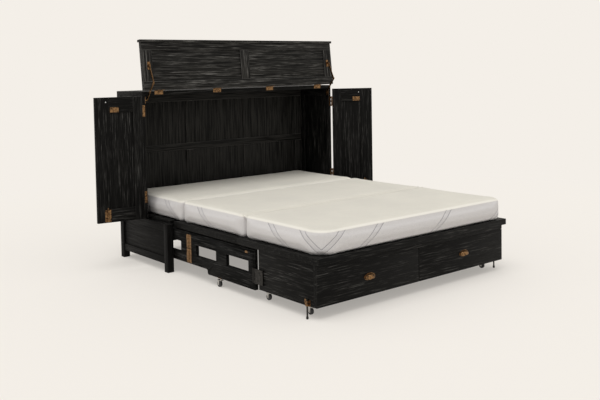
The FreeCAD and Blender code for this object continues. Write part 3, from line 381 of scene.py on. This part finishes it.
# A merged copy of a flat-faced solid with eased edges and grain.
def dressedCopy(node, body, material, grain, edge=1.4):
    bm = bmesh.new()
    bm.from_mesh(nodes[node].data)
    bmesh.ops.transform(bm, matrix=toFrame.inverted(), verts=bm.verts)
    bmesh.ops.remove_doubles(bm, verts=bm.verts, dist=0.01)
    bmesh.ops.dissolve_limit(bm, angle_limit=math.radians(1.0), verts=bm.verts, edges=bm.edges)
    bm.verts.layers.float_vector.new("grain")
    bm.faces.layers.float.new("wear")
    sharp = [joined for joined in bm.edges
             if len(joined.link_faces) == 2 and joined.calc_face_angle(0.0) > math.radians(40)]
    rounded = bmesh.ops.bevel(bm, geom=sharp, offset=edge, offset_type="OFFSET", segments=2, profile=0.5,
                              affect="EDGES", material=-1, clamp_overlap=True)["faces"]
    writeGrain(bm, bm.verts, grain, rounded)
    bmesh.ops.triangulate(bm, faces=[face for face in bm.faces if len(face.verts) > 4])
    return finishPiece(node + "_dressed", bm, body, material, (node,))


cabinet = {
    "half": 830, "inner": 808, "fixedDepth": -362, "depth": -642, "base": 311, "under": 1130, "top": 1156,
    "back": -18, "legIn": 785, "legDepth": 45, "sideOut": 826, "sideIn": 793, "recess": 7,
    "sideRailLow": (52, 98), "sideRailHigh": (265, 311), "backRails": ((311, 398), (708, 758), (1068, 1130)),
    "backStiles": ((-808, -745), (-287, -229), (229, 287), (745, 808)), "panelCentres": (-516.0, 0.0, 516.0),
    "panelHalf": 230, "upperRails": (369, 1072), "upperStiles": {"left": (-76, -304), "right": (-58, -286)},
    "head": (-603, 292, 328),
}
c = cabinet
half, inner, back, under, base = c["half"], c["inner"], c["back"], c["under"], c["base"]
members = [((-inner, back, low), (inner, 0, high), "x") for low, high in c["backRails"]]
members.append(((-c["legIn"], back, c["sideRailLow"][0]), (c["legIn"], 0, 310.6), "x"))
for bottom, top in ((398, 708), (758, 1068)):
    members += [((left, back, bottom + 0.3), (right, 0, top - 0.3), "z") for left, right in c["backStiles"]]
    members += [((middle - c["panelHalf"], -11, bottom - 1), (middle + c["panelHalf"], -3, top + 1), "z")
                for middle in c["panelCentres"]]
boards("back_panelling", "cabinet", litInsideWood, ("back_board",), members)

boards("top_shelf", "cabinet", wood, ("top_board",),
       [((-half, c["fixedDepth"], under + 0.3), (half, 0, c["top"]), "x")], edge=2.0)

for tag, side in (("left", -1), ("right", 1)):
    near, far = c["upperStiles"][tag]
    lowRail, highRail = c["upperRails"]
    left, right = min(side * half, side * inner), max(side * half, side * inner)
    members = [((left, near, base + 0.3), (right, 0, under), "z"),
               ((left, c["fixedDepth"], base + 0.3), (right, far, under), "z"),
               ((left, far + 0.3, base + 0.3), (right, near - 0.3, lowRail), "y"),
               ((left, far + 0.3, highRail), (right, near - 0.3, under), "y"),
               ((left + c["recess"], far - 1, lowRail - 1), (right - c["recess"], near + 1, highRail + 1), "z")]
    boards("upper_side_boards_" + tag, "cabinet", wood, ("upper_side_" + tag,), members)
    left, right = sorted((side * c["sideOut"], side * c["sideIn"]))
    panelLeft, panelRight = (left + c["recess"], right) if side < 0 else (left, right - c["recess"])
    legLeft, legRight = sorted((side * half, side * c["legIn"]))
    front, behind = c["depth"] + c["legDepth"], -c["legDepth"]
    (lowFrom, lowTo), (highFrom, highTo) = c["sideRailLow"], c["sideRailHigh"]
    members = [((legLeft, behind, 0), (legRight, 0, base), "z"),
               ((legLeft, c["depth"], 0), (legRight, front, base), "z"),
               ((left, front - 0.3, lowFrom), (right, behind + 0.3, lowTo), "y"),
               ((left, front - 0.3, highFrom), (right, behind + 0.3, highTo), "y"),
               ((panelLeft, front - 1, lowTo - 1), (panelRight, behind + 1, highFrom + 1), "y")]
    boards("base_side_boards_" + tag, "cabinet", shadedBaseWood, ("base_side_" + tag,), members, edge=2.0)

headFront, headUnder, headTop = c["head"]
boards("head_deck", "cabinet", wood, ("head_platform",),
       [((-c["legIn"], headFront, headUnder), (c["legIn"], back, headTop), "x")])
print("cabinet ready")

lid = {
    "angle": 96.0, "pin": (0.0, -364.3, 1159.7), "free": -336.0, "edge": -2.5, "top": -3.7, "under": -29.7,
    "half": 830, "lipHalf": 841, "lip": 14, "lipUnder": -37.7, "skin": -13.7, "frame": -13.4, "panel": -22.7,
    "stiles": ((-830, -753), (-37, 37), (753, 830)), "panelCentre": 395, "panelHalf": 359,
}
f, e, top, under = lid["free"], lid["edge"], lid["top"], lid["under"]
wide, lip, frameTop = lid["half"], lid["lip"], lid["frame"]
lidTurn = Matrix.Translation(lid["pin"]) @ Matrix.Rotation(math.radians(-lid["angle"]), 4, "X")
members = [((-wide, f + lip, lid["skin"]), (wide, e, top), "x"),
           ((-wide, -60.5, under), (wide, e, frameTop), "x"),
           ((-wide, f + lip, under), (wide, f + 66, frameTop), "x"),
           ((-lid["lipHalf"], f - 2, lid["lipUnder"]), (lid["lipHalf"], f + lip, top), "x")]
for left, right in lid["stiles"]:
    members.append(((left, f + 66.3, under), (right, -60.8, frameTop), "y"))
for middle in (-lid["panelCentre"], lid["panelCentre"]):
    left, right = middle - lid["panelHalf"], middle + lid["panelHalf"]
    members.append(((left, f + 65, lid["panel"]), (right, -59.5, frameTop), "x"))
boards("lid_panelling", "lid", litLidWood, ("lid_board",), members, turn=lidTurn)

wingSizes = {"left": (-1, 100.0), "right": (1, 60.0)}
wingBoards = {
    "faces": (6.0, 28.0), "low": 319, "high": 1127, "stile": (-68.6, -3.6), "lockStile": (-320.1, -228.1),
    "rail": (-227.8, -68.9), "topRail": 1028, "lowRail": 406, "pin": (836.0, -364.6), "recess": 7,
}
w = wingBoards


# From the wing's own place, hinge pin at the origin, to its place at rest.
def wingTurn(side, angle):
    pinX, pinY = w["pin"]
    return Matrix.Translation((side * pinX, pinY, 0)) @ Matrix.Rotation(math.radians(side * angle), 4, "Z")


for tag, (side, angle) in wingSizes.items():
    left, right = sorted(-side * face for face in w["faces"])
    turn = wingTurn(side, angle)
    members = [((left, start, w["low"]), (right, end, w["high"]), "z")
               for start, end in (w["stile"], w["lockStile"])]
    members += [((left, w["rail"][0], w["topRail"]), (right, w["rail"][1], w["high"]), "y"),
                ((left, w["rail"][0], w["low"]), (right, w["rail"][1], w["lowRail"]), "y"),
                ((left + w["recess"], -229, w["lowRail"] - 1), (right - w["recess"], -67.6, w["topRail"] + 1), "z")]
    boards("wing_boards_" + tag, "wing_" + tag, wood, ("wing_" + tag,), members, turn=turn)
print("lid and wings ready")

chest = {
    "half": 771, "inner": 749, "front": -2030, "fronts": -2008, "backIn": -1551, "rear": -1537,
    "low": 65, "floor": 79, "high": 291, "rail": 261, "middle": 11,
    "faceHalf": 770.5, "faceGap": 2.6, "faceLow": 66, "faceHigh": 259.5,
}
h = chest
members = [((-h["half"], h["fronts"], h["low"]), (-h["inner"], h["rear"], h["high"]), "y"),
           ((h["inner"], h["fronts"], h["low"]), (h["half"], h["rear"], h["high"]), "y"),
           ((-h["inner"], h["backIn"], h["low"]), (h["inner"], h["rear"], h["high"]), "x"),
           ((-h["inner"] - 0.3, h["fronts"], h["low"]), (h["inner"] + 0.3, h["backIn"], h["floor"]), "x"),
           ((-h["middle"], h["fronts"], 78.6), (h["middle"], h["backIn"], 290.6), "y"),
           ((-h["half"], h["front"], h["rail"]), (h["half"], h["fronts"] - 0.3, h["high"]), "x")]
boards("chest_boards", "chest", litFrontWood, ("chest_case",), members)
for tag, side in (("left", -1), ("right", 1)):
    left, right = sorted((side * h["faceGap"], side * h["faceHalf"]))
    boards("drawer_face_" + tag, "drawer_" + tag, litFrontWood, ("drawer_front_" + tag,),
           [((left, h["front"], h["faceLow"]), (right, h["fronts"] - 0.5, h["faceHigh"]), "x")], edge=1.8)
    dressedCopy("drawer_box_" + tag, "drawer_" + tag, litInsideWood, "y")
deck = {"half": 780, "under": 292, "top": 328, "foot": (-2056, -1337), "middle": (-1336, -642.5)}
for tag, edge in (("foot", 2.2), ("middle", 1.6)):
    low, high = deck[tag]
    boards(tag + "_deck", "platform_" + tag, wood, ("platform_" + tag,),
           [((-deck["half"], low, deck["under"]), (deck["half"], high, deck["top"]), "x")], edge=edge)

for tag in ("left", "right"):
    for end in ("rear", "front"):
        dressedCopy("gate_%s_%s" % (end, tag), "gate_%s_%s" % (end, tag), wood, "y")
print("chest, platform and gates ready")

pull = {"x": 395.0, "z": 166.0, "halfWidth": 41.0, "depth": 24.0, "rise": 21.0, "drop": 17.0, "flange": 2.0,
            "rim": 6.0, "wall": 2.2, "lip": 2, "screwX": 30.0, "screwZ": -10.5, "screw": 2.6, "face": -2030.0}
for tag, side in (("left", -1), ("right", 1)):
    bm = bmesh.new()
    bmesh.ops.create_uvsphere(bm, u_segments=48, v_segments=24, radius=1.0)
    everything = bm.verts[:] + bm.edges[:] + bm.faces[:]
    bmesh.ops.bisect_plane(bm, geom=everything, plane_co=(0, 0, 0), plane_no=(0, 1, 0), clear_outer=True)
    everything = bm.verts[:] + bm.edges[:] + bm.faces[:]
    bmesh.ops.bisect_plane(bm, geom=everything, plane_co=(0, 0, -0.32), plane_no=(0, 0, -1), clear_outer=True)
    cup = (pull["halfWidth"] - pull["rim"], pull["depth"], pull["rise"] - pull["lip"])
    bmesh.ops.scale(bm, vec=cup, verts=bm.verts)
    shell = bm.faces[:]
    bmesh.ops.solidify(bm, geom=shell, thickness=pull["wall"])
    bmesh.ops.translate(bm, vec=(0, -pull["flange"], 0), verts=bm.verts)
    known = set(bm.verts)
    bmesh.ops.create_circle(bm, cap_ends=True, segments=48, radius=1.0)
    rim = [vert for vert in bm.verts if vert not in known]
    for vert in rim:
        vert.co = Vector((vert.co.x * pull["halfWidth"], 0.0,
                          vert.co.y * pull["rise"] if vert.co.y > 0 else vert.co.y * pull["drop"]))
    plate = [face for face in bm.faces if all(vert in rim for vert in face.verts)]
    pushed = bmesh.ops.extrude_face_region(bm, geom=plate)["geom"]
    front = [item for item in pushed if isinstance(item, bmesh.types.BMVert)]
    bmesh.ops.translate(bm, vec=(0, -pull["flange"], 0), verts=front)
    for x in (-pull["screwX"], pull["screwX"]):
        made = bmesh.ops.create_uvsphere(bm, u_segments=12, v_segments=6, radius=pull["screw"])["verts"]
        bmesh.ops.scale(bm, vec=(1, 0.5, 1), verts=made)
        bmesh.ops.translate(bm, vec=(x, -pull["flange"], pull["screwZ"]), verts=made)
    bmesh.ops.recalc_face_normals(bm, faces=bm.faces)
    bmesh.ops.translate(bm, vec=(side * pull["x"], pull["face"], pull["z"]), verts=bm.verts)
    finishPiece("cup_pull_shell_" + tag, bm, "drawer_" + tag, brass, ("cup_pull_" + tag,))

for tag, (side, angle) in wingSizes.items():
    # a small pale bumper beside the catch, on the wing's inner face
    left, right = (28.0, 31.0) if side < 0 else (-31.0, -28.0)
    turn = wingTurn(side, angle)
    bm = bmesh.new()
    bmesh.ops.create_cone(bm, cap_ends=True, segments=20, radius1=4.6, radius2=3.4, depth=3.0)
    outward = Matrix.Rotation(math.radians(-90 * side), 3, "Y")
    bmesh.ops.rotate(bm, verts=bm.verts, cent=(0, 0, 0), matrix=outward)
    rims = [edge for edge in bm.edges if len(edge.link_faces) == 2 and edge.calc_face_angle(0) > 0.7]
    bmesh.ops.bevel(bm, geom=rims, offset=0.7, offset_type="OFFSET", segments=2, profile=0.5,
                    affect="EDGES", material=-1)
    bmesh.ops.translate(bm, vec=((left + right) / 2, -248.0 if side < 0 else -212.0, 1096.0), verts=bm.verts)
    finishPiece("wing_bumper_" + tag, bm, "wing_" + tag, bumperWhite, (), turn)
print("pulls and bumpers ready")

# metal parts keep their CAD shape
finishes = {
    "antique_brass": brass, "caster_steel": steel, "dark_metal": darkMetal, "wheel_black": wheelBlack,
}
swaps = {
    "floor_stop_plates": brass, "floor_stop_left": darkMetal, "floor_stop_right": darkMetal,
    "chest_gate_straps": darkMetal, "gate_front_left_fittings": gateBrass,
    "gate_front_right_fittings": gateBrass,
}
for name, node in nodes.items():
    slotName = node.material_slots[0].material.name.split(".")[0] if node.material_slots else ""
    if slotName in finishes:
        node.material_slots[0].material = swaps.get(name, finishes[slotName])

mattress = {
    "half": 762.0, "bottom": 328.3, "top": 465.0, "thin": 6.0, "voxel": 0.0105, "pressure": 4.0,
    "frames": 10, "swell": 0.0065, "rim": 15.0,
    "sections": {
        "head": (-24.0, -701.0, 84.0, 34.0, False, False),
        "middle": (-701.6, -1378.4, 34.0, 34.0, False, True),
        "foot": (-1379.0, -2056.0, 34.0, 108.0, True, False),
    },
}


# A block with upright corners rounded in plan and its rims eased.
def roundedBlock(near, far, nearRadius, farRadius):
    m = mattress
    bm = bmesh.new()
    made = bmesh.ops.create_cube(bm, size=1.0)["verts"]
    # the ends that meet another section are cut back less
    farCut = m["thin"] * (0.4 if farRadius < 50 else 1.0)
    nearCut = m["thin"] * (0.4 if nearRadius < 50 else 1.0)
    low = Vector((-m["half"] + m["thin"], far + farCut, m["bottom"] + 3))
    high = Vector((m["half"] - m["thin"], near - nearCut, m["top"] - m["thin"]))
    bmesh.ops.scale(bm, vec=high - low, verts=made)
    bmesh.ops.translate(bm, vec=(low + high) / 2, verts=made)
    for y, radius in ((high.y, nearRadius), (low.y, farRadius)):
        for side in (-1, 1):
            upright = [edge for edge in bm.edges
                       if abs(edge.verts[0].co.z - edge.verts[1].co.z) > 20
                       and abs(edge.verts[0].co.y - y) < 0.5 and edge.verts[0].co.x * side > m["half"] - 20]
            offset = min(radius, 62.0) if side > 0 else radius
            bmesh.ops.bevel(bm, geom=upright, offset=offset, offset_type="OFFSET", segments=10, profile=0.5,
                            affect="EDGES", material=-1)
    rims = [edge for edge in bm.edges
            if all(abs(vert.co.z - high.z) < 0.5 for vert in edge.verts)
            or all(abs(vert.co.z - low.z) < 0.5 for vert in edge.verts)]
    bmesh.ops.bevel(bm, geom=rims, offset=m["rim"], offset_type="OFFSET", segments=4, profile=0.5,
                    affect="EDGES", material=-1)
    bmesh.ops.recalc_face_normals(bm, faces=bm.faces)
    return bm


# The piece's mesh with its modifiers applied.
def applied(piece):
    graph = bpy.context.evaluated_depsgraph_get()
    mesh = bpy.data.meshes.new_from_object(piece.evaluated_get(graph))
    piece.modifiers.clear()
    old = piece.data
    piece.data = mesh
    bpy.data.meshes.remove(old)


# Blows the cover up a little, as foam fills it, and caps how far any point may go.
def inflate(piece):
    m = mattress
    start = [vert.co.copy() for vert in piece.data.vertices]
    cloth = piece.modifiers.new("Fill", "CLOTH")
    cloth.settings.quality = 4
    cloth.settings.mass = 0.4
    cloth.settings.use_pressure = True
    cloth.settings.uniform_pressure_force = m["pressure"]
    cloth.settings.effector_weights.gravity = 0.0
    cloth.settings.tension_stiffness = 18
    cloth.settings.compression_stiffness = 18
    cloth.settings.bending_stiffness = 2.0
    cloth.collision_settings.use_collision = False
    cloth.collision_settings.use_self_collision = False
    cloth.point_cache.frame_start = 1
    cloth.point_cache.frame_end = m["frames"]
    scene = bpy.context.scene
    for number in range(1, m["frames"] + 1):
        scene.frame_set(number)
    graph = bpy.context.evaluated_depsgraph_get()
    swollen = piece.evaluated_get(graph).to_mesh()
    ends = [vert.co.copy() for vert in swollen.vertices]
    piece.evaluated_get(graph).to_mesh_clear()
    piece.modifiers.clear()
    scene.frame_set(1)
    moves = sorted((last - first).length * 1000 for first, last in zip(start, ends))
    print("filled", piece.name, "middle and largest move in mm",
          round(moves[len(moves) // 2], 1), round(moves[-1], 1))
    for vert, first, last in zip(piece.data.vertices, start, ends):
        move = last - first
        if not move.length < 1.0:
            move = Vector()
        if move.length > m["swell"]:
            move *= m["swell"] / move.length
        vert.co = first + move


# Shapes one point after the filling: flat underneath, tight at the joints, sewn rim.
def settle(vert, near, far, smoothNear, smoothFar):
    m = mattress
    x, y, z = vert
    if z < m["bottom"] + 4:
        z = max(m["bottom"], z - 2.5)
    # the hinged joint whose top edges meet: the rim is squared up to the joint
    for joint, square in ((near, smoothNear), (far, smoothFar)):
        gap = abs(y - joint)
        drop = m["top"] - z
        if square and gap < 22 and 0 <= drop < 22:
            if drop < gap:
                z = m["top"] - max(0.0, drop - 8) * 0.2
            else:
                y = joint
    # the rim seam, a shallow groove below the top edge
    deep = max(0.0, 1.0 - abs(z - (m["bottom"] + ticking["edgeHeight"] - 9)) / 6.0)
    if deep > 0 and abs(x) > m["half"] - 30:
        x -= math.copysign(1.8 * deep, x)
    if deep > 0 and far < -1900 and y < far + 30:
        y += 1.8 * deep
    return Vector((x, y, z))


# Distance along the border from the foot corner, and height above the platform.
def writeBorder(mesh, near, far):
    mesh.attributes.new("border", "FLOAT_VECTOR", "POINT")
    mesh.attributes.new("rim", "FLOAT", "POINT")
    layer, rim = mesh.attributes["border"], mesh.attributes["rim"]
    inverse = toFrame.inverted()
    half = mattress["half"]
    for index, vert in enumerate(mesh.vertices):
        place = inverse @ vert.co
        height = place.z - mattress["bottom"]
        reach = half - abs(place.x)
        footReach = place.y + 2056.0
        if reach < footReach:
            along, side = footReach - reach * 0.45, 0.0
        else:
            along, side = place.x + half - footReach * 0.45, 1.0
        if max(reach, footReach) < 200:
            side = 0.0
        layer.data[index].vector = (along, height, side)
        # rim: how strongly the painted highlight on the top edge shows, weaker or none at the joints between
        # sections
        atJoint = reach > 60 and min(near - place.y, place.y - far) < 30
        if height > ticking["edgeHeight"] - 16 and atJoint and far > -2000:
            rim.data[index].value = 0.35
        elif near < -1000 and reach > 60 and near - place.y < 30:
            rim.data[index].value = 0.0
        else:
            rim.data[index].value = 1.0


for tag, (near, far, nearRadius, farRadius, smoothNear, smoothFar) in mattress["sections"].items():
    bm = roundedBlock(near, far, nearRadius, farRadius)
    bmesh.ops.transform(bm, matrix=toFrame, verts=bm.verts)
    mesh = bpy.data.meshes.new("mattress_section_" + tag)
    bm.to_mesh(mesh)
    bm.free()
    piece = bpy.data.objects.new("mattress_section_" + tag, mesh)
    bpy.context.scene.collection.objects.link(piece)
    remesh = piece.modifiers.new("Voxels", "REMESH")
    remesh.mode = "VOXEL"
    remesh.voxel_size = mattress["voxel"] * 1.0
    applied(piece)
    inflate(piece)
    smoother = piece.modifiers.new("Smooth", "SUBSURF")
    smoother.levels = 1
    smoother.render_levels = 1
    applied(piece)
    inverse = toFrame.inverted()
    for vert in piece.data.vertices:
        vert.co = toFrame @ settle(inverse @ vert.co, near, far, smoothNear, smoothFar)
    for polygon in piece.data.polygons:
        polygon.use_smooth = True
    writeBorder(piece.data, near, far)
    piece.data.materials.clear()
    piece.data.materials.append(cover)
    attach(piece, "mattress_" + tag)
    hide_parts("mattress_" + tag)
    print("mattress", tag, "ready", len(piece.data.polygons), "faces")

backdropColour = (0.905, 0.863, 0.807)
studio = {
    "world": 0.64, "lamp": 1.30, "lampSoftness": 46.0, "lampTurn": (7.0, -17.0, 0.0),
    "floorLift": 0.38,
    "floorSize": 60.0, "clearFrom": 2.6, "clearTo": 4.6,
}

bm = bmesh.new()
bmesh.ops.create_grid(bm, x_segments=1, y_segments=1, size=studio["floorSize"] / 2)
mesh = bpy.data.meshes.new("studio_floor")
bm.to_mesh(mesh)
bm.free()
floor = bpy.data.objects.new("studio_floor", mesh)
bpy.context.scene.collection.objects.link(floor)
material, tree, shader = newMaterial("studioFloor")
shader.inputs["Base Color"].default_value = (0.885, 0.850, 0.800, 1.0)
shader.inputs["Roughness"].default_value = 0.9
shader.inputs["Specular IOR Level"].default_value = 0.0
glow = addNode(tree, "ShaderNodeEmission", Strength=1.0)
glow.inputs["Color"].default_value = backdropColour + (1.0,)
place = tree.nodes.new("ShaderNodeTexCoord").outputs["Object"]
length = tree.nodes.new("ShaderNodeVectorMath")
length.operation = "LENGTH"
tree.links.new(place, length.inputs[0])
away = spread(tree, length.outputs["Value"], studio["clearFrom"], studio["clearTo"])
path = tree.nodes.new("ShaderNodeLightPath")
seen = mathNode(tree, "MAXIMUM", path.outputs["Is Camera Ray"],
                mathNode(tree, "MAXIMUM", path.outputs["Is Glossy Ray"], path.outputs["Is Transmission Ray"]))
blendShader = tree.nodes.new("ShaderNodeMixShader")
# at least the floorLift share of the floor the camera sees is a glow of the backdrop colour, which paints the
# shadow under and beside the bed lighter
away = mathNode(tree, "MAXIMUM", away, studio["floorLift"])
tree.links.new(mathNode(tree, "MULTIPLY", away, seen), blendShader.inputs[0])
tree.links.new(shader.outputs["BSDF"], blendShader.inputs[1])
tree.links.new(glow.outputs["Emission"], blendShader.inputs[2])
output = [node for node in tree.nodes if node.type == "OUTPUT_MATERIAL"][0]
tree.links.new(blendShader.outputs["Shader"], output.inputs["Surface"])
floor.data.materials.append(material)

world = bpy.data.worlds.new("studio")
bpy.context.scene.world = world
world.use_nodes = True
tree = world.node_tree
tree.nodes.clear()
output = tree.nodes.new("ShaderNodeOutputWorld")
path = tree.nodes.new("ShaderNodeLightPath")
seen = mathNode(tree, "MAXIMUM", path.outputs["Is Camera Ray"],
                mathNode(tree, "MAXIMUM", path.outputs["Is Glossy Ray"], path.outputs["Is Transmission Ray"]))
soft = addNode(tree, "ShaderNodeBackground", Strength=studio["world"])
soft.inputs["Color"].default_value = (1.0, 0.985, 0.96, 1.0)
shown = addNode(tree, "ShaderNodeBackground", Strength=1.0)
shown.inputs["Color"].default_value = backdropColour + (1.0,)
mixer = tree.nodes.new("ShaderNodeMixShader")
tree.links.new(seen, mixer.inputs[0])
tree.links.new(soft.outputs[0], mixer.inputs[1])
tree.links.new(shown.outputs[0], mixer.inputs[2])
tree.links.new(mixer.outputs[0], output.inputs["Surface"])

lamp = bpy.data.lights.new("softSun", "SUN")
lamp.energy = studio["lamp"]
lamp.angle = math.radians(studio["lampSoftness"])
lampObject = bpy.data.objects.new("softSun", lamp)
lampObject.rotation_euler = [math.radians(value) for value in studio["lampTurn"]]
bpy.context.scene.collection.objects.link(lampObject)

view = {
    "place": Vector((-3.37056, -4.0791, 1.2965)), "yaw": 0.6889, "pitch": 0.0526, "roll": -0.0172,
    "lens": 48.27, "shift": -0.15,
}
pitchCos = math.cos(view["pitch"])
forward = Vector((math.sin(view["yaw"]) * pitchCos, math.cos(view["yaw"]) * pitchCos, -math.sin(view["pitch"])))
level = Vector((math.cos(view["yaw"]), -math.sin(view["yaw"]), 0.0))
upright = level.cross(forward)
rollCos, rollSin = math.cos(view["roll"]), math.sin(view["roll"])
right = rollCos * level + rollSin * upright
top = -rollSin * level + rollCos * upright
lens = bpy.data.cameras.new("camera")
lens.lens = view["lens"]
lens.sensor_width = 36.0
lens.shift_y = view["shift"]
camera = bpy.data.objects.new("camera", lens)
camera.matrix_world = Matrix.Translation(view["place"]) @ Matrix((right, top, -forward)).transposed().to_4x4()
bpy.context.scene.collection.objects.link(camera)
bpy.context.scene.camera = camera
bpy.context.scene.view_settings.view_transform = "Standard"

print("stage ready")
